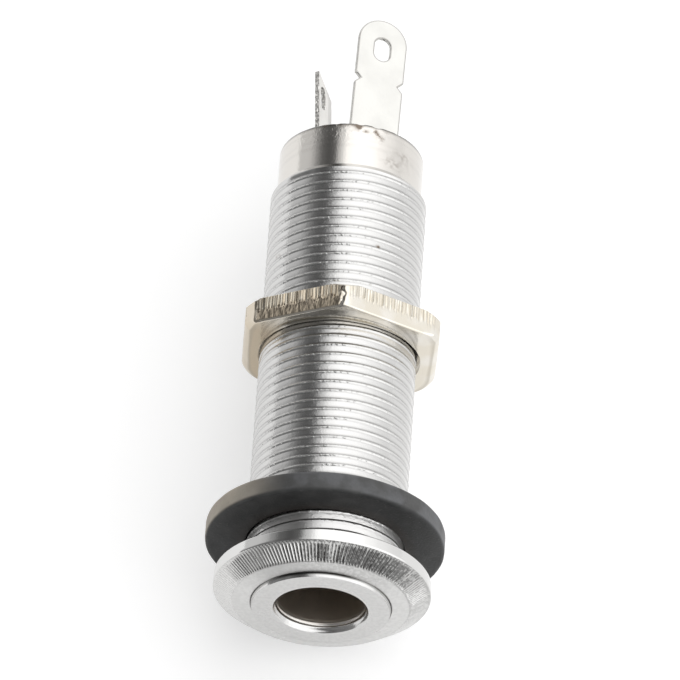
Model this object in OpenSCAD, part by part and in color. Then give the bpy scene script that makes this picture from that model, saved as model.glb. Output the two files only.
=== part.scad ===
// Long-barrel 6.35 mm panel jack. Outside: a turned and threaded barrel with a knurled dress ring,
// a rubber washer and a hex nut. Inside: an insulating liner, a contact carrier and two contacts.
// The jack's axis lies along Y. The plug goes in from -Y and the solder lugs stand out at +Y.
// The origin is on that axis, at the face of the dress ring that meets the panel.

/* [Barrel] */
// Diameter over the thread crests
thread_d = 11.9; // [11.7:0.1:13]
// Length of thread behind the panel face
thread_len = 32.9; // [32:0.1:40]
// Lead chamfer at both ends of the thread
thread_lead = 0.35; // [0.1:0.05:0.6]
// Pitch of the thread, which is drawn as a row of ring grooves
thread_pitch = 0.794; // [0.7:0.002:1.6]
// Depth of the thread's grooves
groove_depth = 0.16; // [0.05:0.01:0.2]
// Width of the thread's grooves
groove_w = 0.4; // [0.2:0.02:0.6]
// Diameter of the plain neck behind the thread
neck_d = 11.0; // [10.6:0.1:11.2]
// Length of the neck, from the thread to the rear rim
neck_len = 3.8; // [3:0.1:6]
// Wall of the neck round the contact space
neck_wall = 0.7; // [0.5:0.05:0.75]
// How far the rear rim is rolled in over the contact carrier
rim_roll = 0.3; // [0.1:0.05:0.35]
// Thickness of the rolled rim
rim_t = 0.5; // [0.3:0.05:0.8]
// Rounding of the rear rim
rim_round = 0.3; // [0.1:0.05:0.45]

/* [Socket] */
// Diameter of the plug bore
bore_d = 6.5; // [6.4:0.02:6.7]
// Length of the close bore, from the mouth inwards
bore_len = 8.5; // [5:0.1:12]
// Radius of the rounded lip at the mouth
mouth_round = 0.35; // [0.1:0.05:0.6]
// Diameter of the nose that shows inside the dress ring
nose_d = 10.5; // [9:0.1:10.8]
// How far the nose stands proud of the dress ring
nose_proud = 0.5; // [0.2:0.05:1.5]
// Chamfer on the nose's outer edge
nose_chamfer = 0.12; // [0.05:0.01:0.3]

/* [Dress ring] */
// Outside diameter of the ring
ring_d = 16.3; // [15:0.1:18]
// Length of the ring, from the panel face to its front face
ring_len = 2.0; // [1.6:0.05:3]
// Length of the plain land beside the panel
ring_land = 1.0; // [0.5:0.05:1.2]
// Diameter of the flat front face, where the knurled slope ends
ring_face_d = 13.25; // [12:0.05:14.5]
// Thickness of the lip that seats on the barrel's shoulder
ring_lip_t = 0.6; // [0.4:0.05:1]
// Number of knurl lines round the slope
knurl_lines = 180; // [60:1:200]
// Depth of the knurl
knurl_depth = 0.12; // [0.05:0.01:0.25]

/* [Washer and nut] */
// Outside diameter of the rubber washer
washer_d = 18.0; // [14:0.1:22]
// Thickness of the rubber washer
washer_t = 1.6; // [0.8:0.1:3]
// Distance of the washer from the panel face
washer_pos = 2.8; // [0.5:0.1:12]
// Rounding of the washer's edges
washer_round = 0.25; // [0.1:0.05:0.35]
// Width of the nut across its flats
nut_af = 14.7; // [13.5:0.1:17]
// Thickness of the nut
nut_t = 2.1; // [1.2:0.1:3]
// Distance of the nut from the panel face
nut_pos = 19.1; // [16:0.05:24]
// Turn of the nut on the thread, from one corner straight up
nut_turn = 3; // [-30:1:30]
// Bevel that the die leaves on the nut's front edge
nut_roll = 0.35; // [0.1:0.05:0.6]
// Countersink at both ends of the nut's hole
nut_chamfer = 0.2; // [0.1:0.05:0.6]
// Diameter of the nut's rear face, where the cut of its corners begins
nut_face_d = 15.8; // [15:0.1:16.5]
// Slope of that cut, from the rear face
nut_slope = 35; // [20:1:45]

/* [Insulators] */
// Wall of the liner that keeps the spring off the barrel
liner_wall = 0.45; // [0.3:0.05:0.5]
// Length of the moulded contact carrier
carrier_len = 5.9; // [4:0.1:7]
// Play of the liner and the carrier in the barrel, on the radius
insulator_gap = 0.05; // [0.02:0.01:0.1]

/* [Contacts] */
// Thickness of the contact sheet
sheet_t = 0.35; // [0.25:0.05:0.5]
// Width of the sleeve lug
sleeve_w = 3.95; // [3.4:0.05:4.4]
// Width of the sleeve lug's shank in the carrier
sleeve_shank_w = 3.0; // [2:0.1:3.2]
// Reach of the sleeve lug behind the rear rim
sleeve_reach = 10.55; // [8:0.05:14]
// Turn of the sleeve lug round the axis
sleeve_angle = 22; // [0:1:40]
// Distance of the sleeve lug from the wall of the contact space
sleeve_inset = 1.1; // [1:0.05:1.3]
// Sideways offset of the sleeve lug
sleeve_shift = 0.25; // [0:0.05:0.5]
// Sideways lean of the sleeve lug
sleeve_lean = 1.75; // [0:0.25:3]
// Depth of the waist notches in the sleeve lug
notch_depth = 0.45; // [0.2:0.05:0.8]
// Distance of the waist notches from the lug's end
notch_from_end = 5.55; // [5:0.05:7]
// Width of the tip lug
tip_w = 2.3; // [2:0.1:3]
// Width of the tip contact's spring and shank
spring_w = 2.0; // [1.5:0.1:2]
// Reach of the tip lug behind the rear rim
tip_reach = 7.9; // [6:0.05:12]
// Turn of the tip contact round the axis
tip_angle = -114; // [-150:1:-90]
// Distance of the tip contact's shank from the axis
tip_r = 2.4; // [2.2:0.05:2.8]
// Outward lean of the tip lug
tip_lean = 3.8; // [0:0.1:6]
// How far the tip lug's end slants down from one edge to the other
tip_slant = 1.5; // [0.2:0.1:1.6]
// Width of the wire eye in the sleeve lug
sleeve_eye_w = 1.3; // [0.8:0.1:1.8]
// Distance of the sleeve lug's eye from the lug's end
sleeve_eye_from_end = 2.6; // [2.2:0.1:3]
// Width of the wire eye in the tip lug
tip_eye_w = 0.85; // [0.6:0.05:1]
// Distance of the tip lug's eye from the lug's end
tip_eye_from_end = 2.1; // [1.8:0.1:3]
// Sideways offset of the tip lug's eye
tip_eye_shift = 0.4; // [0:0.05:0.4]
// Length of each wire eye
eye_len = 2.0; // [1.9:0.1:2.4]
// Distance of the spring's latch from the mouth, where it meets the plug's tip
latch_depth = 27.1; // [25:0.1:28]
// Distance of the spring's latch from the axis, with no plug
latch_r = 2.6; // [2.4:0.05:3]
// Length of the spring's lead-in lip along the axis
lip_len = 1.9; // [1:0.1:3]

/* [Hidden] */
$fn = 96;

// Play of the nut, the washer and the dress ring on the thread's crests, on the radius
thread_gap = 0.03;
// Play of the dress ring's lip round the nose, on the radius
lip_gap = 0.1;
// Play of the contact sheet in its slots
slot_gap = 0.02;
// Distance of the lugs' wide ends from the rear rim
lug_clear = 0.3;
// Room left between the spring's knee and the liner, for the spring to bend
knee_room = 0.5;
// How far the knurl's crests lie below the land
knurl_drop = 0.04;
// Extra length of a cutting tool past the face that it opens
over = 1;

thread_r = thread_d / 2;
neck_r = neck_d / 2;
nose_r = nose_d / 2;
bore_r = bore_d / 2;
mouth_y = -ring_len - nose_proud;
shoulder_y = ring_lip_t - ring_len;
bore_end_y = mouth_y + bore_len;
rear_y = thread_len + neck_len;

cavity_r = neck_r - neck_wall;
insulator_r = cavity_r - insulator_gap;
liner_in_r = insulator_r - liner_wall;
sleeve_r = cavity_r - sleeve_inset;
carrier_rear_y = rear_y - rim_t;
carrier_front_y = carrier_rear_y - carrier_len;
lug_base_y = rear_y + lug_clear;
sleeve_end_y = rear_y + sleeve_reach;
tip_end_y = rear_y + tip_reach;

// The spring runs out of the carrier, swells out to its knee, dips to its latch and lifts to a lead-in lip
latch_y = mouth_y + latch_depth;
knee_r = liner_in_r - knee_room;
lip_r = bore_r + sheet_t;
spring_root_y = carrier_front_y - sheet_t;
knee_y = (spring_root_y + latch_y) / 2;
lip_y = latch_y - lip_len;
spring_path = [
    [lug_base_y, tip_r], [spring_root_y, tip_r], [knee_y, knee_r], [latch_y, latch_r], [lip_y, lip_r]
];

// Points of a quarter round about a centre, between two angles
function arc(centre, radius, from, to, steps = 8) = [
    for (i = [0 : steps])
        let (a = from + (to - from) * i / steps)
            centre + radius * [cos(a), sin(a)]
];

// Outline of a bent strip of even thickness along a path
function unit(v) = v / norm(v);
function left_of(v) = [-v[1], v[0]];
function heading(path, i) = unit(path[i + 1] - path[i]);
function corner(path, i) =
    let (before = left_of(heading(path, max(i - 1, 0))))
        let (after = left_of(heading(path, min(i, len(path) - 2))))
            let (bisector = unit(before + after))
                bisector / (bisector * before);
function strip(path, thickness) = concat(
    [for (i = [0 : len(path) - 1]) path[i] + corner(path, i) * thickness / 2],
    [for (i = [len(path) - 1 : -1 : 0]) path[i] - corner(path, i) * thickness / 2]
);

// Turns a shape made about Z so that its axis lies along Y
module along_y() {
    rotate([-90, 0, 0]) children();
}

// Places a flat contact: its width is tangential, its length is along Y and its sheet faces outwards
module contact_place(angle, radius, shift) {
    rotate([0, angle, 0]) translate([shift, 0, radius]) children();
}

// A slot for a straight strip of sheet, between two places on the axis
module sheet_slot(width, from_y, to_y) {
    slot_t = sheet_t + 2 * slot_gap;
    translate([-width / 2 - slot_gap, from_y, -slot_t / 2])
        cube([width + 2 * slot_gap, to_y - from_y, slot_t]);
}

// The wire eye of a lug, an upright slot with round ends
module eye(width, middle_y) {
    straight = eye_len - width;
    translate([0, middle_y]) {
        square([width, straight], center = true);
        for (side = [-1, 1]) translate([0, side * straight / 2]) circle(d = width);
    }
}

// The flat outline of the sleeve lug, with a round end
module sleeve_outline(base_y, end_y) {
    difference() {
        union() {
            translate([-sleeve_w / 2, base_y]) square([sleeve_w, end_y - sleeve_w / 2 - base_y]);
            translate([0, end_y - sleeve_w / 2]) circle(d = sleeve_w);
        }
        eye(sleeve_eye_w, end_y - sleeve_eye_from_end);
    }
}

// The flat outline of the tip lug, whose end slants down from the edge that its eye is near
module tip_outline(base_y, end_y) {
    side = tip_w / 2;
    difference() {
        polygon([[-side, base_y], [side, base_y], [side, end_y], [-side, end_y - tip_slant]]);
        translate([tip_eye_shift, 0]) eye(tip_eye_w, end_y - tip_eye_from_end);
    }
}

module barrel() {
    bore_lip = arc([bore_r + mouth_round, mouth_y + mouth_round], mouth_round, 180, 270);
    rear_lip = arc([neck_r - rim_round, rear_y - rim_round], rim_round, 0, 90);
    crest_len = thread_len - shoulder_y - 2 * thread_lead;
    groove_count = floor(crest_len / thread_pitch) - 1;
    first_groove_y = shoulder_y + thread_lead + thread_pitch;
    grooves = [
        for (i = [0 : groove_count - 1], side = [-1 : 1])
            let (y = first_groove_y + i * thread_pitch + side * groove_w / 2)
                [thread_r - (1 - abs(side)) * groove_depth, y]
    ];
    profile = concat(
        bore_lip,
        [
            [nose_r - nose_chamfer, mouth_y],
            [nose_r, mouth_y + nose_chamfer],
            [nose_r, shoulder_y],
            [thread_r - thread_lead, shoulder_y],
            [thread_r, shoulder_y + thread_lead]
        ],
        grooves,
        [
            [thread_r, thread_len - thread_lead],
            [neck_r, thread_len + thread_r - neck_r - thread_lead]
        ],
        rear_lip,
        [
            [cavity_r - rim_roll, rear_y],
            [cavity_r - rim_roll, carrier_rear_y],
            [cavity_r, carrier_rear_y],
            [cavity_r, bore_end_y],
            [bore_r, bore_end_y]
        ]
    );
    color("gainsboro") along_y() rotate_extrude() polygon(profile);
}

// Knurled slope: a star outline that tapers from the land to the flat face
module knurl_slope() {
    crest_r = ring_d / 2 - knurl_drop;
    star = [
        for (i = [0 : 2 * knurl_lines - 1])
            let (a = 180 * i / knurl_lines)
                (crest_r - (i % 2) * knurl_depth) * [cos(a), sin(a)]
    ];
    linear_extrude(ring_len - ring_land, scale = ring_face_d / ring_d) polygon(star);
}

module dress_ring() {
    color("silver") difference() {
        union() {
            translate([0, -ring_land, 0]) along_y() cylinder(d = ring_d, h = ring_land);
            translate([0, -ring_land, 0]) rotate([90, 0, 0]) knurl_slope();
        }
        translate([0, shoulder_y, 0]) along_y() cylinder(r = thread_r + thread_gap, h = ring_len + over);
        translate([0, -ring_len - over, 0]) along_y() cylinder(r = nose_r + lip_gap, h = ring_len + over);
    }
}

module rubber_washer() {
    in_r = thread_r + thread_gap;
    out_r = washer_d / 2;
    front_y = washer_pos;
    back_y = washer_pos + washer_t;
    profile = concat(
        arc([in_r + washer_round, front_y + washer_round], washer_round, 180, 270),
        arc([out_r - washer_round, front_y + washer_round], washer_round, 270, 360),
        arc([out_r - washer_round, back_y - washer_round], washer_round, 0, 90),
        arc([in_r + washer_round, back_y - washer_round], washer_round, 90, 180)
    );
    color("dimgray") along_y() rotate_extrude() polygon(profile);
}

module hex_nut() {
    corner_r = nut_af / 2 / cos(30);
    face_r = (nut_af / 2 - nut_roll) / cos(30);
    hole_r = thread_r + thread_gap;
    sink_r = hole_r + nut_chamfer;
    hole = [
        [0, -over],
        [sink_r + over, -over],
        [hole_r, nut_chamfer],
        [hole_r, nut_t - nut_chamfer],
        [sink_r + over, nut_t + over],
        [0, nut_t + over]
    ];
    wide_r = corner_r + over;
    cut_y = nut_t - (wide_r - nut_face_d / 2) * tan(nut_slope);
    turned = [[0, -over], [wide_r, -over], [wide_r, cut_y], [nut_face_d / 2, nut_t], [0, nut_t]];
    color("tan") translate([0, nut_pos, 0]) along_y() difference() {
        intersection() {
            rotate([0, 0, 90 - nut_turn]) {
                cylinder(r1 = face_r, r2 = corner_r, h = nut_roll, $fn = 6);
                translate([0, 0, nut_roll]) cylinder(r = corner_r, h = nut_t - nut_roll, $fn = 6);
            }
            rotate_extrude() polygon(turned);
        }
        rotate_extrude() polygon(hole);
    }
}

module liner() {
    color("saddlebrown") difference() {
        translate([0, bore_end_y, 0]) along_y() cylinder(r = insulator_r, h = carrier_front_y - bore_end_y);
        translate([0, bore_end_y - over, 0]) along_y()
            cylinder(r = liner_in_r, h = carrier_front_y - bore_end_y + 2 * over);
    }
}

module contact_carrier() {
    foot_w = sleeve_shank_w + 2 * slot_gap;
    color("black") difference() {
        translate([0, carrier_front_y, 0]) along_y() cylinder(r = insulator_r, h = carrier_len);
        contact_place(sleeve_angle, sleeve_r, sleeve_shift) {
            sheet_slot(sleeve_shank_w, carrier_front_y - over, carrier_rear_y + over);
            translate([-foot_w / 2, carrier_front_y - over, -sheet_t / 2])
                cube([foot_w, sheet_t + slot_gap + over, cavity_r]);
        }
        contact_place(tip_angle, tip_r, 0)
            sheet_slot(spring_w, carrier_front_y - over, carrier_rear_y + over);
    }
}

// The foot turns outwards under the carrier, to bear on the barrel's wall
module sleeve_foot() {
    intersection() {
        contact_place(sleeve_angle, sleeve_r, sleeve_shift)
            translate([-sleeve_shank_w / 2, carrier_front_y, -sheet_t / 2])
                cube([sleeve_shank_w, sheet_t, cavity_r]);
        translate([0, carrier_front_y, 0]) along_y() cylinder(r = cavity_r, h = sheet_t);
    }
}

module sleeve_lug() {
    lug_len = sleeve_end_y - lug_base_y;
    color("whitesmoke") {
        contact_place(sleeve_angle, sleeve_r, sleeve_shift)
            linear_extrude(sheet_t, center = true) difference() {
                union() {
                    translate([0, lug_base_y]) rotate(-sleeve_lean) sleeve_outline(0, lug_len);
                    translate([-sleeve_shank_w / 2, carrier_front_y])
                        square([sleeve_shank_w, lug_base_y + sheet_t - carrier_front_y]);
                }
                translate([0, lug_base_y]) rotate(-sleeve_lean) for (side = [-1, 1])
                    translate([side * sleeve_w / 2, lug_len - notch_from_end])
                        circle(r = notch_depth, $fn = 4);
            }
        sleeve_foot();
    }
}

module tip_contact() {
    color("whitesmoke") contact_place(tip_angle, tip_r, 0) {
        translate([0, 0, -tip_r]) rotate([90, 0, 90])
            linear_extrude(spring_w, center = true) polygon(strip(spring_path, sheet_t));
        translate([0, lug_base_y, 0]) rotate([tip_lean, 0, 0])
            linear_extrude(sheet_t, center = true)
                tip_outline(-sheet_t / 2, tip_end_y - lug_base_y);
    }
}

barrel();
dress_ring();
rubber_washer();
hex_nut();
liner();
contact_carrier();
sleeve_lug();
tip_contact();
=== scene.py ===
"""Looks of a long-barrel panel jack: plated barrel with its thread, knurled dress ring, rubber washer,
stamped hex nut, solder lugs and the insulators inside. Shapes are worked out in millimetres about the
jack's axis, which lies along Y with the plug's mouth at -Y, and become metres when a mesh is made. Angles
round the axis start at +Z and go towards +X. Sizes in the materials are in metres."""

from math import ceil, cos, pi, radians, sin, tan

import bmesh
import bpy
import numpy as np
from mathutils import Matrix, Vector


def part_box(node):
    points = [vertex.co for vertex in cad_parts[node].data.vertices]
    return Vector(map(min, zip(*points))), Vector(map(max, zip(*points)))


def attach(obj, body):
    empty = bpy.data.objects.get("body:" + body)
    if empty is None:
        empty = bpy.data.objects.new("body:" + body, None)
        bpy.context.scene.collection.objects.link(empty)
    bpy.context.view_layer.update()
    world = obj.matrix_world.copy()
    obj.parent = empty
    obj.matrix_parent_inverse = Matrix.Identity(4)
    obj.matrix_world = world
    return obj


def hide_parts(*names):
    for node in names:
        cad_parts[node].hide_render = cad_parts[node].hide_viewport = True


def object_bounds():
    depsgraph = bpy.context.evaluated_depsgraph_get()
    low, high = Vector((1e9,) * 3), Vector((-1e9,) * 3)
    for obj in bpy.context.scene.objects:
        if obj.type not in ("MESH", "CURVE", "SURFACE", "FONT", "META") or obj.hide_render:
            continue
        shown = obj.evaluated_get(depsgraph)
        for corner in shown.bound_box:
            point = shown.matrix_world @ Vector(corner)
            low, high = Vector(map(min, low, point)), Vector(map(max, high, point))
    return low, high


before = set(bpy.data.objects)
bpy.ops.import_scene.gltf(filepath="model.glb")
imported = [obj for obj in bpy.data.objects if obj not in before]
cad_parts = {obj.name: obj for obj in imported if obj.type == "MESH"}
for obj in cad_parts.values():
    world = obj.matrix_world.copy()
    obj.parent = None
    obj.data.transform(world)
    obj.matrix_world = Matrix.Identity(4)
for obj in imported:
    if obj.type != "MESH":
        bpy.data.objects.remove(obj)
cad_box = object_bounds()

MM = 0.001
TAU = 2 * pi
MERGE_DISTANCE = 1e-8
SHEET_MERGE = 1e-7

# Camera, fitted to the photograph
IMAGE_SIZE = 680
CAMERA_AZIMUTH = 3.42
CAMERA_ELEVATION = 59.93
CAMERA_DISTANCE = 678.0
PIXELS_PER_MM = 13.43
ORIGIN_PIXEL = (322.54, 580.97)
SENSOR_WIDTH = 36.0

# Light tent: angle in degrees round the jack's axis, and brightness
TENT_CARDS = [
    (-180, 0.55), (-100, 0.7), (-84, 0.74), (-71, 0.72), (-63, 0.59), (-56, 0.35), (-46, 0.15),
    (-35, 0.1), (-26, 0.14), (-17, 0.76), (-5, 1.5), (12, 1.7), (36, 1.59), (50, 1.39), (62, 1.22),
    (84, 1.05), (108, 0.88), (180, 0.9)]
# The cards' edges lean: over this range of the direction's Y they go these degrees further round
CARD_LEAN = 31.0
CARD_LEAN_Y = (-0.15, -0.7)
# Brightness of the tent's front, and the direction's Y where it starts and is full
TENT_FRONT = 0.57
TENT_FRONT_Y = (-0.6, -0.97)
# The left card dims to a share outside a window of the direction's Y. Each pair goes from none to full
LEFT_CARD_DIM = 0.35
LEFT_CARD_ANGLES = (-48, -62)
LEFT_CARD_FRONT_Y = (0.1, 0.35)
LEFT_CARD_REAR_Y = (1.0, 0.8)
# A further card at the front right: its gain, and pairs again
RIGHT_CARD_GAIN = 0.4
RIGHT_CARD_TOP = (30, 60)
RIGHT_CARD_FOOT = (125, 100)
RIGHT_CARD_Y = (0.35, 0.0)
FLOOR_SIZE = 1.2
FLOOR_COLOUR = 0.6
FLOOR_GLOW = 0.53

# Short rows beside a profile's corners, which keep their shading tight
CORNER_RUN = 0.02
WIDE_CORNER_RUN = 0.05
# Reach of a test for rows on a radius
ON_RADIUS = 0.01
# Play of ring, washer and nut on the thread's crests
FIT_GAP = 0.03

# Barrel
THREAD_PITCH = 0.794
# One pitch of the thread, rearwards: share of the pitch, depth under the crest, and painted shade and dirt
# in its lines. A broad slanted flat, a faint line, a narrow ridge and a deeper line
THREAD_PROFILE = [
    (0.0, 0.1, 0.8), (0.08, 0.09, 0.2), (0.2, 0.079, 0), (0.32, 0.068, 0), (0.44, 0.059, 0),
    (0.52, 0.058, 0.3), (0.57, 0.055, 0.6), (0.62, 0.036, 0.2), (0.67, 0.01, 0), (0.73, 0.0, 0),
    (0.79, 0.012, 0), (0.86, 0.05, 0.3), (0.93, 0.095, 1.0)]
FLAT_END = 0.57
RIDGE_PHASE = 0.73
RIDGE_REACH = 0.1
# Beside the washer, y from none to full, the flats slant further, and the thread is shallower, with paler
# painted shade and dirt in its lines
WASHER_SIDE = (3.6, 2.6)
FLAT_SLANT = 0.08
SIDE_SHALLOWER = 0.4
SIDE_PALER_LINES = 0.45
BARREL_COLUMNS = 144
# The columns crowd round this angle, where the marks are
BARREL_FOCUS = 12.0
BARREL_CROWDING = 0.42
NECK_RADIUS = 5.5
NECK_STEP = 0.15
THREAD_END = 32.9
THREAD_LEAD = 0.35
CAVITY_RADIUS = 4.8
RIM_ROLL = 0.3
RIM_THICKNESS = 0.5
RIM_ROUND = 0.2
BORE_RADIUS = 3.25
BORE_LENGTH = 8.5
# The mouth's lip, the power of its curve, and the depth and half waves of its turning lines
LIP_WIDTH = 0.32
LIP_DEPTH = 0.95
LIP_CURVE = 1.8
LIP_LINE_DEPTH = 0.018
LIP_LINES = 5.5
NOSE_RADIUS = 5.25
NOSE_CROWN = 0.95
NOSE_CROWN_ANGLE = 26.0
SHOULDER_Y = -1.4
THREAD_FROM = SHOULDER_Y + THREAD_LEAD
THREAD_TO = THREAD_END - THREAD_LEAD

# Beads of plate on the neck: strength, and y where they start and are full
NECK_BEADS = 0.22
NECK_BEADS_Y = (34.2, 36.0)
# Faint turning lines on the neck: y and strength, with the reach of each along the axis
NECK_LINES = [(34.7, 0.3), (35.3, 0.15), (36.0, 0.12)]
NECK_LINE_REACH = 0.08
# Dark line at the rear rim: strength, and how far before the rim it starts and is full
RIM_LINE = 2.4
RIM_LINE_Y = (0.27, 0.13)
# Painted shadow in a dark line at the nose's foot: strength all round, more at the top, how far before the
# crown's end it starts and is full, and the top's cosines and middle
FOOT_SHADOW = 0.4
FOOT_SHADOW_TOP = 2.2
FOOT_SHADOW_Y = (0.28, 0.14)
FOOT_TOP = (0.72, 0.93)
FOOT_TOP_ANGLE = -5.0
# Staking nicks in the rear rim: angle and half width in degrees, depth along the axis
RIM_NICKS = [
    (7.5, 2.5, 0.06), (21, 3.0, 0.09), (-12, 2.0, 0.04), (40, 2.0, 0.03), (150, 3.5, 0.1),
    (258, 3.0, 0.06)]
# The nicks' reach along the neck, share at the rim's inside and share inwards, and the rim's unevenness
NICK_REACH = 1.0
NICK_INSIDE = 0.35
NICK_INWARDS = 0.12
RIM_RAGGED = 0.008
# Stains and pits on the barrel: angle in degrees, y, reach round the axis and along it, strength
BARREL_STAINS = [
    (2, 36.6, 0.5, 0.15, 0.7), (6, 36.4, 0.3, 0.22, 1.0), (9.5, 36.05, 0.4, 0.13, 0.9),
    (14, 36.5, 0.5, 0.12, 0.6), (19, 36.2, 0.22, 0.25, 0.9), (22, 35.85, 0.25, 0.2, 1.0),
    (25, 35.65, 0.22, 0.16, 1.0), (30, 36.4, 0.5, 0.1, 0.5), (35, 33.9, 0.5, 0.22, 0.7),
    (39, 33.6, 0.5, 0.12, 0.5), (48, 34.9, 0.7, 0.3, 0.3), (44, 34.4, 1.4, 0.7, 0.12),
    (-13, 36.5, 0.9, 0.2, 0.8), (-22, 36.4, 0.5, 0.15, 0.4), (-57.4, 25.9, 0.16, 0.14, 1.0),
    (27, 26.0, 0.16, 0.14, 1.0), (160, 35.2, 1.0, 0.6, 0.6), (250, 34.6, 1.2, 0.5, 0.5)]

# Dress ring
RING_LAND = 1.0
LAND_BEVEL = 0.06
RING_FACE_RADIUS = 6.62
RING_LIP_RADIUS = 5.27
RING_EDGE = 0.14
# The face is a low cone: its outer edge lies on the frame's front, its lip this much before it
RING_CROWN = 0.15
RING_CROWN_CURVE = 1.2
FACE_BEVEL = 0.03
KNURL_LINES = 180
KNURL_SAMPLES = 8
KNURL_DEPTH = 0.22
KNURL_CURVE = 0.8
# Share of the depth that varies from line to line
KNURL_UNEVEN = 0.15
# Wear of the knurl: angle in degrees from the top, share worn off. Depth is lost by this share of the wear
KNURL_WEAR = [
    (-180, 0.92), (-115, 0.9), (-90, 0.86), (-65, 0.74), (-40, 0.42), (-18, 0.08), (0, 0), (40, 0.1),
    (65, 0.26), (90, 0.44), (110, 0.62), (130, 0.86), (180, 0.92)]
WEAR_DEPTH = 0.8
# Painted shade and soil start and are full at these depths of a line. Painted shade also lies along both
# ends of the slope
KNURL_SHADE_AND_SOIL = (0.2, 0.58)
SLOPE_REAR_SHADE = 0.1
SLOPE_FRONT_SHADE = 0.12
SLOPE_FRONT_SHARE = 0.7
# Where the knurling tool chattered: by the cosine about a middle on the right, by degrees on the left
CHATTER_MIDDLE = 62
CHATTER_RIGHT = (-0.1, 0.6)
CHATTER_LEFT = (-35, -75)
# Painted shade on the top of the face, and the cosines where it starts and is full
FACE_TOP_SHADE = 0.28
FACE_SHADE_TOP = (0.25, 0.9)

# Washer
WASHER_COLUMNS = 320
WASHER_ROUND = 0.28
WASHER_BORE_ROUND = 0.06
# Unevenness of the washer's outside: its size, then waves a turn, start and share
WASHER_SWELL = 0.02
WASHER_WAVES = [(3, 1.0, 1.0), (7, 2.4, 0.6), (23, 0.0, 0.3)]
# Painted sheen on the rim's left, a reflection of the floor: strength, the sines where it starts and is
# full, and its turn
RIM_SHEEN = 0.95
RIM_SHEEN_LEFT = (-0.1, -0.8)
RIM_SHEEN_TURN = 0.2

# Nut
NUT_ACROSS_FLATS = 14.7
NUT_TURN = 3.0
NUT_TILT = 1.1
NUT_SHIFT = 0.12
NUT_REAR_RADIUS = 7.9
NUT_REAR_SLOPE = 35.0
NUT_COLUMNS = 1500
# Values round the nut, with the angle in degrees from its top corner: sharpness of the corners, roll of
# the front edge, and width of the bore's countersink
NUT_SHARPNESS = [(-180, 11), (-115, 12), (-88, 36), (88, 36), (115, 12), (180, 11)]
NUT_ROLL = [
    (-180, 0.75), (-120, 0.7), (-90, 0.55), (-64, 0.5), (-55, 0.2), (-48, 0.1), (-4, 0.1), (8, 0.1),
    (50, 0.1), (58, 0.3), (66, 0.42), (90, 0.42), (120, 0.6), (180, 0.75)]
NUT_SINK = [
    (-180, 0.15), (-100, 0.1), (-60, 0.05), (30, 0.05), (58, 0.16), (80, 0.26), (110, 0.2), (180, 0.15)]
NUT_ROLL_POWER = 1.35
# Corners cut flat: angle in degrees from the top corner, distance of the cut from the axis
NUT_CORNER_CUTS = [(-60, 8.12), (60, 8.22)]
# Parts of the nut in degrees from the top corner: where each rises and falls, both from none to full
NUT_LEFT_FLAT = ((-55.5, -53.5), (-1.5, -4))
NUT_RIGHT_FLAT = ((3, 6), (60, 56))
NUT_LEFT_SIDE = ((-64, -60), (3, 0))
# Painted shade on the nut's lower left side
NUT_SHADED_SIDE = ((-160, -130), (-40, -62))
# Share of the thickness where the flats start to tear, and how much that wanders
NUT_TEAR = 0.5
NUT_TEAR_WANDER = 0.09
# Depths of the tears, of their pits, of the gash at the top corner and of the left end
NUT_TEAR_DEPTH = 0.035
NUT_PIT_DEPTH = 0.03
NUT_GASH_DEPTH = 0.05
NUT_END_DEPTH = 0.03

# Rounding of the solder lugs' cut edges
SHEET_EDGE = 0.07

# Colours
NECK_PLATE = (0.69, 0.665, 0.63)
BORE_BROWN = (0.66, 0.6, 0.53)
THREAD_SHADE_AND_DIRT = (0.05, 0.048, 0.045)
STAIN_BROWN = (0.2, 0.165, 0.135)
KNURL_SHADE_AND_DIRT = (0.035, 0.035, 0.034)
NUT_PLATE = (0.705, 0.661, 0.575)
NUT_WORN = (0.755, 0.725, 0.667)
NUT_SHADE_AND_DIRT = (0.55, 0.466, 0.352)
NUT_DULLED = (0.6, 0.55, 0.46)
NUT_BORDER = (0.4, 0.36, 0.3)
NUT_DIRT = (0.075, 0.055, 0.04)
TIN_BORDER = (0.44, 0.43, 0.41)
TIN_DIRT = (0.35, 0.33, 0.31)
RUBBER = (0.032, 0.0327, 0.033)
RUBBER_RUBBED = (0.032, 0.024, 0.019)
RUBBER_RIM = (0.105, 0.107, 0.112)
RUBBER_DARK = (0.06, 0.06, 0.06)
RUBBER_SHEEN = (0.56, 0.5, 0.41)
RUBBER_DUST = (0.13, 0.13, 0.127)
GREY_DUST = (0.2, 0.19, 0.18)


def node_span(node):
    """Lowest and highest corner of a frame node, in millimetres."""
    low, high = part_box(node)
    return np.array(low) / MM, np.array(high) / MM


def radius_of(node):
    """Outer radius of a round node about the Y axis."""
    low, high = node_span(node)
    return max(high[0], -low[0])


def arc(centre, radius, start, end, steps=6):
    """Points of a circular arc in the (radius, y) plane, between two angles in degrees."""
    angles = np.radians(np.linspace(start, end, steps + 1))
    return np.stack([centre[0] + radius * np.cos(angles), centre[1] + radius * np.sin(angles)], 1)


def line(start, end, steps):
    """Points of a straight run, without its last point."""
    start, end = np.array([start, end], float)
    return start + np.arange(steps)[:, None] / steps * (end - start)


def rise(low, high, value):
    """Smooth rise from 0 to 1 while a value goes from low to high, which may be the smaller one."""
    share = np.clip((value - low) / (high - low), 0.0, 1.0)
    return share * share * (3 - 2 * share)


def band(value, start, end):
    """Smooth rise over the pair of values in start, times a fall over the pair in end."""
    return rise(*start, value) * rise(*end, value)


def away_from(degrees, middle):
    """Angles counted from a middle, -180 to 180 degrees."""
    return (degrees - middle + 180) % 360 - 180


def along_list(values, degrees):
    """Values between the (angle, value) pairs of a list."""
    return np.interp(degrees, *np.array(values, float).T)


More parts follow.
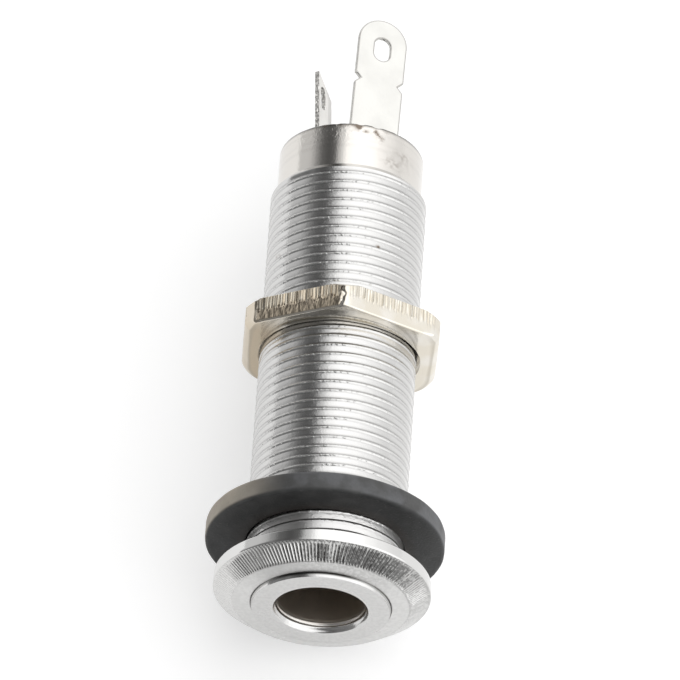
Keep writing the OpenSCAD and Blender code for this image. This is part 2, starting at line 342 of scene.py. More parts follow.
def wave_noise(angles, seed, waves):
    """Repeatable noise round a circle, about -1 to 1: cosines with a whole number of waves a turn."""
    rng = np.random.default_rng(seed)
    total = np.zeros_like(angles, float)
    for octave in (0, 1):
        for _ in range(4):
            count = round(waves * 2 ** octave * rng.uniform(0.7, 1.4))
            total += np.cos(count * angles + rng.uniform(0, TAU)) / 2 ** octave
    return total / 3


def around(profile_r, profile_y, angles):
    """Points of a turned surface: each profile point goes round the Y axis."""
    return np.stack([
        profile_r * np.sin(angles),
        np.broadcast_to(profile_y, profile_r.shape),
        profile_r * np.cos(angles),
    ], -1)


def grid_faces(rows, columns, helix=None):
    """Corner numbers of a grid's faces. The grid closes both ways. With helix = (first row, last row, rows
    a turn), those rows climb one turn on their way round, so that at the seam they join the rows above."""
    i, j = np.meshgrid(np.arange(rows), np.arange(columns), indexing="ij")
    next_i = (i + 1) % rows
    next_j = (j + 1) % columns
    climb = np.zeros_like(i)
    keep = np.ones(i.shape, bool)
    if helix:
        first, last, turn = helix
        seam = (j == columns - 1) & (i >= first) & (i < last)
        climb = np.where(seam, turn, 0)
        keep = ~(seam & (i + turn >= last))
    corners = np.stack([
        i * columns + j,
        next_i * columns + j,
        (next_i + climb) * columns + next_j,
        (i + climb) * columns + next_j,
    ], -1)
    return corners[keep]


def linked(name, data):
    """New object in the scene for a mesh or a camera."""
    made = bpy.data.objects.new(name, data)
    bpy.context.scene.collection.objects.link(made)
    return made


def grid_piece(name, points, masks, sharp_degrees, helix=None):
    """Mesh of a closed grid with its faces turned outwards, and masks for its material. Points that
    coincide are merged, and edges sharper than an angle stay sharp."""
    rows, columns = points.shape[:2]
    quads = grid_faces(rows, columns, helix)
    flat = points.reshape(-1, 3)
    a, b, c, d = flat[quads.T]
    volume = np.einsum("ij,ij->", a, np.cross(b, c)) + np.einsum("ij,ij->", a, np.cross(c, d))
    if volume < 0:
        quads = quads[:, ::-1]
    mesh = bpy.data.meshes.new(name)
    mesh.from_pydata((flat * MM).tolist(), [], quads.tolist())
    for key, values in masks.items():
        layer = mesh.attributes.new(key, "FLOAT", "POINT")
        layer.data.foreach_set("value", np.broadcast_to(values, (rows, columns)).astype(np.float32).ravel())
    work = bmesh.new()
    work.from_mesh(mesh)
    bmesh.ops.remove_doubles(work, verts=work.verts, dist=MERGE_DISTANCE)
    work.to_mesh(mesh)
    work.free()
    mesh.polygons.foreach_set("use_smooth", np.ones(len(mesh.polygons), bool))
    mesh.set_sharp_from_angle(angle=radians(sharp_degrees))
    return linked(name, mesh)


def stand_in(piece, node, body, material):
    """Gives a piece its material and its body, and lets it stand for a frame node."""
    piece.data.materials.clear()
    piece.data.materials.append(material)
    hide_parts(node)
    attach(piece, body)


# Shapes

def barrel_profile(mouth, rear, crest, crown_y):
    """Rows of the barrel's profile before its thread, from the bore's end, and after it."""
    bore_end = mouth + BORE_LENGTH
    lip = BORE_RADIUS + LIP_WIDTH
    seat = rear - RIM_THICKNESS
    hole = CAVITY_RADIUS - RIM_ROLL
    neck_start = THREAD_END + NECK_STEP
    crown = arc((NOSE_RADIUS - NOSE_CROWN, crown_y), NOSE_CROWN, -NOSE_CROWN_ANGLE, 0, 7)
    face_edge = crown[0, 0] - WIDE_CORNER_RUN
    share = np.linspace(0, 1, 22)
    lip_lines = LIP_LINE_DEPTH * np.sin(share * LIP_LINES * pi) * share * (1 - share) * 4
    around_lip = np.stack([
        BORE_RADIUS + LIP_WIDTH * share ** LIP_CURVE + lip_lines, mouth + LIP_DEPTH * (1 - share)], 1)
    before = np.concatenate([
        line((BORE_RADIUS, bore_end), (BORE_RADIUS, mouth + LIP_DEPTH), 8),
        around_lip,
        line((lip + CORNER_RUN, mouth), (face_edge, mouth), 4),
        line((face_edge, mouth), crown[0], 1),
        crown,
        line((NOSE_RADIUS, crown[-1, 1] + CORNER_RUN), (NOSE_RADIUS, SHOULDER_Y), 3),
        line((NOSE_RADIUS, SHOULDER_Y), (crest - THREAD_LEAD, SHOULDER_Y), 2),
        line((crest - THREAD_LEAD, SHOULDER_Y), (crest, THREAD_FROM), 3),
    ])
    after = np.concatenate([
        line((crest, THREAD_TO), (NECK_RADIUS, neck_start), 4)[1:],
        line((NECK_RADIUS, neck_start), (NECK_RADIUS, rear - RIM_ROUND), 22),
        arc((NECK_RADIUS - RIM_ROUND, rear - RIM_ROUND), RIM_ROUND, 0, 90, 5),
        line((NECK_RADIUS - RIM_ROUND - CORNER_RUN, rear), (hole, rear), 4),
        line((hole, rear - CORNER_RUN), (hole, seat), 2),
        line((hole, seat), (CAVITY_RADIUS, seat), 1),
        line((CAVITY_RADIUS, seat), (CAVITY_RADIUS, bore_end), 6),
        line((CAVITY_RADIUS, bore_end), (BORE_RADIUS, bore_end), 2),
    ])
    return before, after


def barrel_marks(radius, y, angles, mouth):
    """Masks of the barrel's stains, its neck, the inside of its bore and its satin mouth."""
    degrees = np.degrees(angles)
    stain = 0
    for middle, place_y, reach, reach_y, strength in BARREL_STAINS:
        away = np.radians(away_from(degrees, middle)) * NECK_RADIUS
        stain = stain + strength * np.exp(-(away / reach) ** 2 - ((y - place_y) / reach_y) ** 2)
    lip = BORE_RADIUS + LIP_WIDTH
    face = (y < mouth + 0.05) * rise(lip - 0.1, lip + 0.1, radius)
    inner_lip = (radius < lip) * (radius > BORE_RADIUS + 0.002) * (y < mouth + LIP_DEPTH)
    return {
        "stain": np.where(radius > CAVITY_RADIUS, np.clip(stain, 0, 1), 0),
        "neck": rise(THREAD_END - 0.1, THREAD_END + 0.3, y),
        "inside": (radius < BORE_RADIUS + 0.12) * rise(mouth + 0.3, mouth + 1.0, y),
        "satin": np.maximum(face, 0.45 * inner_lip),
    }


def barrel_lines(radius, y, angles, rear, crown_y):
    """Mask of the painted shadow at the nose's foot, stronger at the top, and of the dark lines on the neck
    and at the rear rim.
    """
    at_top = rise(*FOOT_TOP, np.cos(angles - radians(FOOT_TOP_ANGLE)))
    # Painted shadow at the nose's foot, stronger at the top
    foot_shadow = rise(crown_y - FOOT_SHADOW_Y[0], crown_y - FOOT_SHADOW_Y[1], y)
    foot_shadow = foot_shadow * (radius > NOSE_RADIUS - 0.06) * (y < THREAD_FROM)
    on_neck = radius > NECK_RADIUS - 0.17
    rim = RIM_LINE * rise(rear - RIM_LINE_Y[0], rear - RIM_LINE_Y[1], y) * on_neck
    lines = np.maximum(foot_shadow * (FOOT_SHADOW + FOOT_SHADOW_TOP * at_top), rim)
    for place_y, strength in NECK_LINES:
        lines = np.maximum(lines, strength * np.exp(-((y - place_y) / NECK_LINE_REACH) ** 2) * on_neck)
    return lines


def barrel_shape():
    """Turned barrel. The thread's rows climb one pitch a turn, and on them the radius is the crest less the
    profile's depth, which fades out at both ends of the thread, where the rows end in plain rings. The
    columns' angles are t - crowding x sin(t - focus), so they lie closer round the focus."""
    low, high = node_span("barrel")
    mouth, rear = low[1], high[1]
    crest = radius_of("barrel")
    crown_y = mouth + CORNER_RUN + NOSE_CROWN * sin(radians(NOSE_CROWN_ANGLE))
    before, after = barrel_profile(mouth, rear, crest, crown_y)
    columns = np.linspace(0, TAU, BARREL_COLUMNS, endpoint=False)[None, :]
    angles = columns - BARREL_CROWDING * np.sin(columns - radians(BARREL_FOCUS))
    rows_a_turn = len(THREAD_PROFILE)
    turns = ceil((THREAD_TO - THREAD_FROM) / THREAD_PITCH) + 1
    phase, depth, dirt = (
        np.append(np.tile(row, turns), row[0])[:, None] for row in np.array(THREAD_PROFILE).T)
    turn = np.append(np.repeat(np.arange(turns), rows_a_turn), turns)[:, None]
    climbing_y = THREAD_FROM + THREAD_PITCH * (turn + phase - 1 + angles / TAU)
    thread_y = np.clip(climbing_y, THREAD_FROM, THREAD_TO)
    full = band(thread_y, (THREAD_FROM, THREAD_FROM + THREAD_LEAD), (THREAD_TO, THREAD_TO - THREAD_LEAD))
    by_washer = rise(*WASHER_SIDE, thread_y)
    slant = FLAT_SLANT * full * by_washer * np.clip(1 - phase / FLAT_END, 0, 1)
    fade = full * (1 - SIDE_SHALLOWER * by_washer)

    plain = np.ones_like(angles)

    def on_thread(values):
        """Values on the thread's rows, and nothing on the rows before and after them."""
        return np.pad(values, ((len(before), len(after)), (0, 0)))

    radius = np.concatenate([before[:, :1] * plain, crest - depth * fade - slant, after[:, :1] * plain])
    y = np.concatenate([before[:, 1:] * plain, thread_y, after[:, 1:] * plain])
    # Painted shade and dirt in the thread's lines, paler beside the washer
    groove = on_thread(dirt * fade * (1 - SIDE_PALER_LINES * by_washer))
    thread = on_thread(0.5 * full + 0.5 * full * by_washer)
    ridge = on_thread(fade * np.exp(-((phase - RIDGE_PHASE) / RIDGE_REACH) ** 2))
    ridge = ridge + NECK_BEADS * rise(*NECK_BEADS_Y, y) * (radius > NECK_RADIUS - ON_RADIUS)

    nicks = 0
    for middle, half_width, nick_depth in RIM_NICKS:
        nicks = nicks + nick_depth * np.exp(-(away_from(np.degrees(angles), middle) / half_width) ** 4)
    ragged = RIM_RAGGED * (1 + wave_noise(angles, 3, 40))
    at_rim = rise(rear - NICK_REACH, rear, y) * (radius > CAVITY_RADIUS - RIM_ROLL - ON_RADIUS)
    outside = rise(CAVITY_RADIUS, NECK_RADIUS, radius)
    y = y - at_rim * (nicks + ragged) * (NICK_INSIDE + (1 - NICK_INSIDE) * outside)
    radius = radius - NICK_INWARDS * at_rim * nicks * outside

    groove = np.maximum(groove, barrel_lines(radius, y, angles, rear, crown_y))
    masks = {"groove": groove, "ridge": ridge, "thread": thread, **barrel_marks(radius, y, angles, mouth)}
    helix = (len(before), len(before) + len(phase) - 1, rows_a_turn)
    return grid_piece("barrel_turned", around(radius, y, angles), masks, sharp_degrees=40, helix=helix)


def dress_ring_shape():
    """Turned ring whose slope carries a knurl: the radius drops by depth x |2t - 1| ^ curve, where t goes
    from 0 to 1 over each line, and the lines differ a little in depth."""
    low, high = node_span("dress_ring")
    front, seat = low[1] - RING_CROWN, high[1]
    outer = radius_of("dress_ring")
    bore = radius_of("barrel") + FIT_GAP
    land_front = seat - RING_LAND
    land_edge = (outer - WIDE_CORNER_RUN, land_front)
    face_y = front + RING_CROWN
    share = np.linspace(1, 0, 14)
    crown = np.stack([
        RING_LIP_RADIUS + FACE_BEVEL + (RING_FACE_RADIUS - RING_LIP_RADIUS - FACE_BEVEL) * share,
        front + RING_CROWN * share ** RING_CROWN_CURVE], 1)
    profile = np.concatenate([
        line((bore, SHOULDER_Y), (bore, seat - RING_EDGE), 3),
        line((bore, seat), (outer - RING_EDGE, seat), 4),
        arc((outer - RING_EDGE, seat - RING_EDGE), RING_EDGE, 90, 0, 4),
        line((outer, seat - RING_EDGE - CORNER_RUN), (outer, land_front + LAND_BEVEL), 4),
        line((outer, land_front + LAND_BEVEL), land_edge, 2),
        line(land_edge, (RING_FACE_RADIUS + WIDE_CORNER_RUN, face_y + FACE_BEVEL), 14),
        crown,
        line((RING_LIP_RADIUS, front + LAND_BEVEL), (RING_LIP_RADIUS, SHOULDER_Y), 2),
        line((RING_LIP_RADIUS, SHOULDER_Y), (bore, SHOULDER_Y), 1),
    ])
    plain_radius, y = profile[:, :1], profile[:, 1:]
    count = KNURL_LINES * KNURL_SAMPLES
    angles = np.linspace(0, TAU, count, endpoint=False)[None, :]
    degrees = away_from(np.degrees(angles), 0)
    turn = angles * KNURL_LINES / TAU
    unevenness = 1 - KNURL_UNEVEN + KNURL_UNEVEN * wave_noise(np.floor(turn) * TAU / KNURL_LINES, 11, 30)
    valley = np.abs(2 * (turn % 1.0) - 1) ** KNURL_CURVE
    on_slope = band(y, (land_front + 0.02, land_front - 0.06), (face_y, face_y + 0.08))
    groove = (plain_radius > RING_FACE_RADIUS) * on_slope * valley * unevenness
    worn = along_list(KNURL_WEAR, degrees)
    radius = np.repeat(plain_radius, count, 1) - KNURL_DEPTH * groove * (1 - WEAR_DEPTH * worn)

    # Painted shade along both ends of the knurled slope, and painted shade with soil deep in its valleys
    rear_end = rise(land_front - SLOPE_REAR_SHADE, land_front, y)
    front_end = SLOPE_FRONT_SHARE * rise(face_y + SLOPE_FRONT_SHADE, face_y, y)
    slope = (plain_radius > RING_FACE_RADIUS - 0.05) * (y < land_front + 0.03)
    shade_and_soil = np.maximum(rise(*KNURL_SHADE_AND_SOIL, groove), slope * np.maximum(rear_end, front_end)) * (1 - worn)
    chatter = rise(*CHATTER_RIGHT, np.cos(angles - radians(CHATTER_MIDDLE)))
    chatter = np.maximum(chatter, rise(*CHATTER_LEFT, degrees))
    satin = (plain_radius < RING_FACE_RADIUS + 0.02) * (y < face_y + 0.02)
    # Painted shade on the top of the face
    top_shade = FACE_TOP_SHADE * satin * rise(*FACE_SHADE_TOP, np.cos(angles))
    masks = {"groove": np.maximum(shade_and_soil, top_shade), "chatter": chatter, "satin": satin}
    return grid_piece("dress_ring_knurled", around(radius, y, angles), masks, sharp_degrees=75)


def washer_shape():
    """Turned rubber ring with soft edges, whose outside swells and sinks by a few hundredths."""
    low, high = node_span("rubber_washer")
    front, back = low[1], high[1]
    outer = radius_of("rubber_washer")
    bore = radius_of("barrel") + FIT_GAP
    soft = WASHER_ROUND
    tight = WASHER_BORE_ROUND
    profile = np.concatenate([
        line((bore, back - soft), (bore, front + tight), 4),
        arc((bore + tight, front + tight), tight, 180, 270, 3),
        line((bore + 0.1, front), (outer - soft, front), 12),
        arc((outer - soft, front + soft), soft, 270, 360),
        line((outer, front + soft + WIDE_CORNER_RUN), (outer, back - soft), 8),
        arc((outer - soft, back - soft), soft, 0, 90),
        line((outer - soft - 0.1, back), (bore + soft, back), 12),
        arc((bore + soft, back - soft), soft, 90, 180),
    ])
    plain_radius, y = profile[:, :1], profile[:, 1:]
    angles = np.linspace(0, TAU, WASHER_COLUMNS, endpoint=False)[None, :]
    sunk = 0
    for waves, start, share in WASHER_WAVES:
        sunk = sunk + share * (1 + np.cos(waves * angles + start))
    radius = plain_radius - WASHER_SWELL * rise(bore + 1.0, outer, plain_radius) * sunk
    rim = rise(outer - 0.35, outer - 0.12, plain_radius) * rise(front + 0.05, front + soft, y)
    # Painted sheen, a reflection of the floor, on the left of the rim
    painted_sheen = RIM_SHEEN * rim * rise(*RIM_SHEEN_LEFT, np.sin(angles + RIM_SHEEN_TURN))
    masks = {"rim": rim, "painted_sheen": painted_sheen}
    return grid_piece("rubber_washer_moulded", around(radius, y, angles), masks, sharp_degrees=60)


def nut_outline(angles, from_top):
    """Distance of the nut's outline from the axis. In each direction it is the high-power mean of the three
    pairs of flats, 1 / (sum |cos(angle - flat)| ^ p) ^ (1 / p), where a lower p gives rounder corners."""
    sharpness = along_list(NUT_SHARPNESS, from_top)
    total = 0
    for flat in (30, 90, 150):
        total = total + np.abs(np.cos(angles - radians(flat + NUT_TURN))) ** sharpness
    outline = NUT_ACROSS_FLATS / 2 / total ** (1 / sharpness)
    for middle, distance in NUT_CORNER_CUTS:
        away = np.clip(away_from(from_top, middle), -30, 30)
        outline = np.minimum(outline, distance / np.cos(np.radians(away)))
    return outline


def nut_shape():
    """Stamped hexagon. The die broke the front edge into a chamfer that bulges, and the rear part of each
    flat is torn into streaks of uneven length."""
    low, high = node_span("hex_nut")
    front, back = low[1], high[1]
    thickness = back - front
    angles = np.linspace(0, TAU, NUT_COLUMNS, endpoint=False)[None, :]
    from_top = away_from(np.degrees(angles), NUT_TURN)
    roll = along_list(NUT_ROLL, from_top)
    sink = along_list(NUT_SINK, from_top)
    outline = nut_outline(angles, from_top)
    plain = np.ones_like(angles)
    bore = (radius_of("barrel") + FIT_GAP) * plain
    bore_edge = bore + sink

    rows = [(bore, thickness - sink), (bore, thickness / 2 * plain), (bore, sink), (bore_edge, 0 * plain)]
    for share in (0.25, 0.5, 0.75, 0.97):
        rows.append((bore_edge + share * (outline - roll - bore_edge), 0 * plain))
    face_edge = len(rows)
    for share in np.linspace(0, 1, 8):
        drop = roll * (1 - (1 - share ** NUT_ROLL_POWER) ** (1 / NUT_ROLL_POWER))
        rows.append((outline - roll * (1 - share), drop))
    cut = np.maximum(outline - NUT_REAR_RADIUS, 0) * tan(radians(NUT_REAR_SLOPE))
    rear_edge = thickness - cut
    for share in np.linspace(0.05, 1.0, 22):
        rows.append((outline, roll + share * (rear_edge - 0.05 - roll)))
    rear_face = np.minimum(outline - 0.06, NUT_REAR_RADIUS)
    for share in (0.0, 0.5, 1.0):
        slope = outline - 0.04 + share * (rear_face - outline + 0.04)
        rows.append((slope, rear_edge + share * (thickness - rear_edge)))
    for share in (0.8, 0.4, 0.0):
        rows.append((bore_edge + share * (rear_face - bore_edge), thickness * plain))
    radius, depth = (np.concatenate(values) for values in zip(*rows))

    side = (radius > outline - 0.07) * rise(0.1, 0.2, depth)
    corner = np.degrees(np.abs((angles - radians(NUT_TURN)) % (TAU / 6) - TAU / 12))
    on_flat = rise(29, 26, corner)
    left = band(from_top, *NUT_LEFT_FLAT)
    right = band(from_top, *NUT_RIGHT_FLAT)
    elsewhere = 1 - np.maximum(band(from_top, *NUT_LEFT_SIDE), right)
    tear_start = thickness * (NUT_TEAR + NUT_TEAR_WANDER * wave_noise(angles, 9, 50))
    streaked = on_flat * np.maximum(np.maximum(left, right), elsewhere)
    torn = side * streaked * rise(tear_start - 0.1, tear_start + 0.12, depth)
    streaks = np.clip(0.5 + wave_noise(angles, 5, 170), 0, 1.4)
    pits = side * np.exp(-((depth - tear_start + 0.05) / 0.2) ** 2) * streaks
    pits = pits * on_flat * (left + 0.08 * right + 0.6 * elsewhere)
    rough = side * left * rise(tear_start + 0.25, tear_start - 0.1, depth)
    wander = from_top + 1.6 + 0.9 * np.sin(4.1 * depth + 0.6) + 0.4 * np.sin(9.7 * depth)
    gash = side * np.exp(-(wander / 0.9) ** 2)
    left_end = side * np.exp(-((from_top + 54.3 + 0.5 * np.sin(5 * depth)) / 0.8) ** 2)
    border = np.zeros_like(radius)
    border[face_edge - 1:face_edge + 2] = rise(0.15, 0.4, roll)
    # Painted shade on the lower left side and the left flat, with dirt on the left flat's rough front
    shade_and_dirt = band(from_top, *NUT_SHADED_SIDE) * np.where(depth < 0.02, 1.0, 0.7)
    shade_and_dirt = np.maximum(shade_and_dirt, np.maximum(0.7 * rough, 0.9 * side * left))
    masks = {
        "torn": torn, "rough": rough, "border": border, "shade_and_dirt": shade_and_dirt,
        "groove": np.clip(0.8 * pits + gash + 0.6 * left_end + 0.2 * rough, 0, 1)}

    radius = radius - NUT_TEAR_DEPTH * torn * streaks - NUT_PIT_DEPTH * pits
    radius = radius - NUT_GASH_DEPTH * gash - NUT_END_DEPTH * left_end
    points = around(radius, front + depth, angles)
    points[..., 0] += NUT_SHIFT * rise(bore_edge, NUT_ACROSS_FLATS / 2 * plain, radius)
    points[..., 1] -= tan(radians(NUT_TILT)) * points[..., 2]
    return grid_piece("hex_nut_stamped", points, masks, sharp_degrees=28)


def softened_copy(node, name, facing, border=0.0):
    """Copy of a sheet-metal node with its loose triangles merged and its cut edges rounded over. Facing is
    the sheet's direction round the axis, in degrees; faces that look another way count as cut, and a border
    of the sheet's own faces, darkened by the die, counts as half cut."""
    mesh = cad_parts[node].data.copy()
    mesh.name = name
    work = bmesh.new()
    work.from_mesh(mesh)
    bmesh.ops.remove_doubles(work, verts=work.verts, dist=SHEET_MERGE)
    bmesh.ops.dissolve_limit(work, angle_limit=radians(1), verts=work.verts, edges=work.edges)
    cut = work.faces.layers.float.new("cut")
    sheet = Vector((sin(radians(facing)), 0, cos(radians(facing))))
    flat = [face for face in work.faces if abs(face.normal.dot(sheet)) > 0.6]
    for face in work.faces:
        face[cut] = 1.0
    for face in flat:
        face[cut] = 0.0
    if border:
        made = bmesh.ops.inset_region(
            work, faces=flat, thickness=border * MM, use_even_offset=True, use_boundary=True)
        for face in made["faces"]:
            face[cut] = 0.5
    work.to_mesh(mesh)
    work.free()
    mesh.polygons.foreach_set("use_smooth", np.ones(len(mesh.polygons), bool))
    piece = linked(name, mesh)
    bevel = piece.modifiers.new("rounded_edges", "BEVEL")
    bevel.width = SHEET_EDGE * MM
    bevel.segments = 3
    bevel.limit_method = "ANGLE"
    bevel.angle_limit = radians(35)
    bevel.harden_normals = True
    return piece


# Materials

def add(tree, kind, values=None, **settings):
    """A shader node with its settings, and its inputs linked from sockets or set from numbers and colours."""
    made = tree.nodes.new("ShaderNode" + kind)
    for key, value in settings.items():
        setattr(made, key, value)
    for key, value in (values or {}).items():
        socket = made.inputs[key]
        if isinstance(value, bpy.types.NodeSocket):
            tree.links.new(value, socket)
        elif socket.type == "RGBA":
            socket.default_value = (*value, 1)
        else:
            socket.default_value = value
    return made


def calc(tree, operation, *terms):
    """Output of one Math node."""
    return add(tree, "Math", dict(enumerate(terms)), operation=operation).outputs[0]


def times(tree, first, second):
    """Product of two values."""
    return calc(tree, "MULTIPLY", first, second)


def raised(tree, value, amount, gain):
    """A value plus an amount times its gain."""
    return calc(tree, "MULTIPLY_ADD", amount, gain, value)


def grey_ramp(tree, factor, stops):
    """Eased ramp over (position, grey value) stops."""
    made = add(tree, "ValToRGB", {"Fac": factor})
    made.color_ramp.interpolation = "EASE"
    elements = made.color_ramp.elements
    while len(elements) < len(stops):
        elements.new(0.5)
    for element, (position, value) in zip(elements, stops):
        element.position = position
        element.color = (value, value, value, 1)
    return made.outputs["Color"]


def blend(tree, factor, first, second):
    """Colour that goes from first to second with a factor."""
    return add(tree, "Mix", {0: factor, 6: first, 7: second}, data_type="RGBA").outputs[2]


def mask(tree, name):
    """Value of one of the mesh's own attributes."""
    return add(tree, "Attribute", attribute_name=name).outputs["Fac"]


def noise(tree, vector, size, detail=2.0):
    """Noise whose features are about size metres across."""
    scale = calc(tree, "DIVIDE", 1.0, size)
    return add(tree, "TexNoise", {"Vector": vector, "Scale": scale, "Detail": detail}).outputs[0]


def stretched(tree, vector, along):
    """Places that draw a texture out along the axis, where along is less than 1."""
    return add(tree, "Mapping", {"Vector": vector, "Scale": (1.0, along, 1.0)}).outputs[0]


def between(tree, value, low, high, start=0.0, end=1.0):
    """Smooth rise from start to end while a value goes from low to high."""
    values = {0: value, 1: low, 2: high, 3: start, 4: end}
    return add(tree, "MapRange", values, interpolation_type="SMOOTHSTEP").outputs[0]


def from_axis(tree, vector):
    """Distance from the Y axis, and the place along it."""
    axes = add(tree, "SeparateXYZ", {0: vector}).outputs
    squares = calc(tree, "ADD", calc(tree, "POWER", axes[0], 2.0), calc(tree, "POWER", axes[2], 2.0))
    return calc(tree, "SQRT", squares), axes[1]


def shared_effect(name, inputs, outputs):
    """Empty node group with a Vector input, number inputs and number outputs, and its two ends."""
    group = bpy.data.node_groups.new(name, "ShaderNodeTree")
    group.interface.new_socket("Vector", in_out="INPUT", socket_type="NodeSocketVector")
    for key in inputs:
        group.interface.new_socket(key, in_out="INPUT", socket_type="NodeSocketFloat")
    for key in outputs:
        group.interface.new_socket(key, in_out="OUTPUT", socket_type="NodeSocketFloat")
    entry = group.nodes.new("NodeGroupInput").outputs
    leave = group.nodes.new("NodeGroupOutput").inputs
    return group, entry, leave


def grain_effect():
    """Uneven finish: roughness that drifts in patches, and fine grain for a bump."""
    group, entry, leave = shared_effect(
        "finish_grain", ["Size", "Roughness", "Spread"], ["Roughness", "Height", "Patches"])
    fine = noise(group, entry["Vector"], entry["Size"], detail=3.0)
    patches = noise(group, entry["Vector"], times(group, entry["Size"], 9.0), detail=3.0)
    drift = times(group, calc(group, "SUBTRACT", patches, 0.5), times(group, entry["Spread"], 2.0))
    group.links.new(calc(group, "ADD", entry["Roughness"], drift), leave["Roughness"])
    group.links.new(fine, leave["Height"])
    group.links.new(patches, leave["Patches"])
    return group


def turning_effect():
    """Fine lines left by a lathe: noise along the profile, the same all the way round the Y axis."""
    group, entry, leave = shared_effect("turning_lines", ["Size"], ["Height"])
    across, along = from_axis(group, entry["Vector"])
    profile = add(group, "CombineXYZ", {0: across, 1: along}).outputs[0]
    group.links.new(noise(group, profile, entry["Size"]), leave["Height"])
    return group


def grime_effect():
    """Dirt that gathers where a cavity mask is high, broken up by noise."""
    group, entry, leave = shared_effect("grime", ["Cavity", "Amount", "Size"], ["Mask"])
    broken = between(group, noise(group, entry["Vector"], entry["Size"], detail=4.0), 0.35, 0.62)
    held = times(group, entry["Cavity"], entry["Amount"])
    group.links.new(times(group, held, broken), leave["Mask"])
    return group


def dust_effect():
    """Thin pale dust in specks and smears."""
    group, entry, leave = shared_effect("dust", ["Amount", "Size"], ["Mask"])
    specks = between(group, noise(group, entry["Vector"], entry["Size"]), 0.6, 0.78)
    smear_size = times(group, entry["Size"], 12.0)
    smears = between(group, noise(group, entry["Vector"], smear_size, detail=4.0), 0.4, 0.75)
    both = calc(group, "MAXIMUM", specks, times(group, smears, 0.5))
    group.links.new(times(group, both, entry["Amount"]), leave["Mask"])
    return group


GRAIN = grain_effect()
TURNING = turning_effect()
GRIME = grime_effect()
DUST = dust_effect()


def effect(tree, group, place, **values):
    """Outputs of a shared effect in a material."""
    inputs = {"Vector": place}
    for key, value in values.items():
        inputs[key.capitalize()] = value
    return add(tree, "Group", inputs, node_tree=group).outputs


def new_material(name, base, finish, metallic, size, spread):
    """A material with one Principled shader and a grain of a given size, whose roughness spreads about its
    finish. Gives back its tree, shader, Object coordinates and grain too."""
    material = bpy.data.materials.new(name)
    material.use_nodes = True
    tree = material.node_tree
    shader = tree.nodes["Principled BSDF"]
    shader.inputs["Base Color"].default_value = (*base, 1)
    shader.inputs["Roughness"].default_value = finish
    shader.inputs["Metallic"].default_value = metallic
    place = add(tree, "TexCoord").outputs["Object"]
    grain = effect(tree, GRAIN, place, size=size, roughness=finish, spread=spread)
    return material, tree, shader, place, grain


def dress(tree, shader, colour, roughness, height, distance):
    """Lays a colour, a roughness and a bump, whose full height is a distance, on a shader."""
    bump = add(tree, "Bump", {"Strength": 1.0, "Distance": distance, "Height": height})
    tree.links.new(colour, shader.inputs["Base Color"])
    tree.links.new(roughness, shader.inputs["Roughness"])
    tree.links.new(bump.outputs[0], shader.inputs["Normal"])


def bright_nickel(name, base, finish, satin_finish):
    """Bright plate over turned brass, duller and mottled where the mesh says satin. Gives back what more can
    be laid on: its tree, shader, place, colour, roughness and the height of its grain and lines."""
    material, tree, shader, place, grain = new_material(
        name, base, finish, metallic=1.0, size=0.00014, spread=finish / 3)
    satin = mask(tree, "satin")
    frost = effect(tree, GRAIN, place, size=0.00025, roughness=satin_finish, spread=0.1)
    lines = effect(tree, TURNING, place, size=0.00012)["Height"]
    change = calc(tree, "SUBTRACT", frost["Roughness"], grain["Roughness"])
    roughness = raised(tree, grain["Roughness"], satin, gain=change)
    height = raised(tree, grain["Height"], lines, gain=0.5)
    height = raised(tree, height, times(tree, satin, frost["Height"]), gain=3.0)
    spots = between(tree, noise(tree, place, size=0.00028, detail=4.0), 0.35, 0.65)
    colour = blend(tree, times(tree, satin, spots), base, [0.92 * part for part in base])
    return material, tree, shader, place, colour, roughness, height


def barrel_nickel():
    """The barrel's plate: rough on the thread's ridges, with painted shade and dirt in the thread's lines and
    painted shadow at the nose's foot; warm, brushed and stained on the rear neck, brown inside the bore."""
    material, tree, shader, place, colour, roughness, height = bright_nickel(
        "barrel_nickel", base=(0.63, 0.626, 0.618), finish=0.11, satin_finish=0.3)
    neck = mask(tree, "neck")
    thread = mask(tree, "thread")
    ridge = mask(tree, "ridge")
    inside = mask(tree, "inside")
    dirt = calc(tree, "MINIMUM", times(tree, mask(tree, "groove"), 0.385), 1.0)
    stain = effect(tree, GRIME, place, cavity=mask(tree, "stain"), amount=1.5, size=0.0005)["Mask"]
    colour = blend(tree, neck, colour, NECK_PLATE)
    # Painted shade and dirt in the thread's lines, painted shadow at the nose's foot, dark lines on neck and
    # rim
    colour = blend(tree, dirt, colour, THREAD_SHADE_AND_DIRT)
    colour = blend(tree, stain, colour, STAIN_BROWN)
    colour = blend(tree, inside, colour, BORE_BROWN)
    roughness = raised(tree, roughness, thread, gain=0.18)
    roughness = raised(tree, roughness, ridge, gain=0.1)
    roughness = raised(tree, roughness, calc(tree, "MAXIMUM", stain, inside), gain=0.25)
    beads = between(tree, noise(tree, place, size=0.00026, detail=1.0), 0.5, 0.72)
    brushed = effect(tree, TURNING, place, size=0.00007)["Height"]
    height = raised(tree, height, times(tree, ridge, beads), gain=5.0)
    height = raised(tree, height, times(tree, neck, brushed), gain=0.9)
    height = raised(tree, height, times(tree, thread, beads), gain=1.0)
    dress(tree, shader, colour, roughness, height, distance=0.000005)
    return material


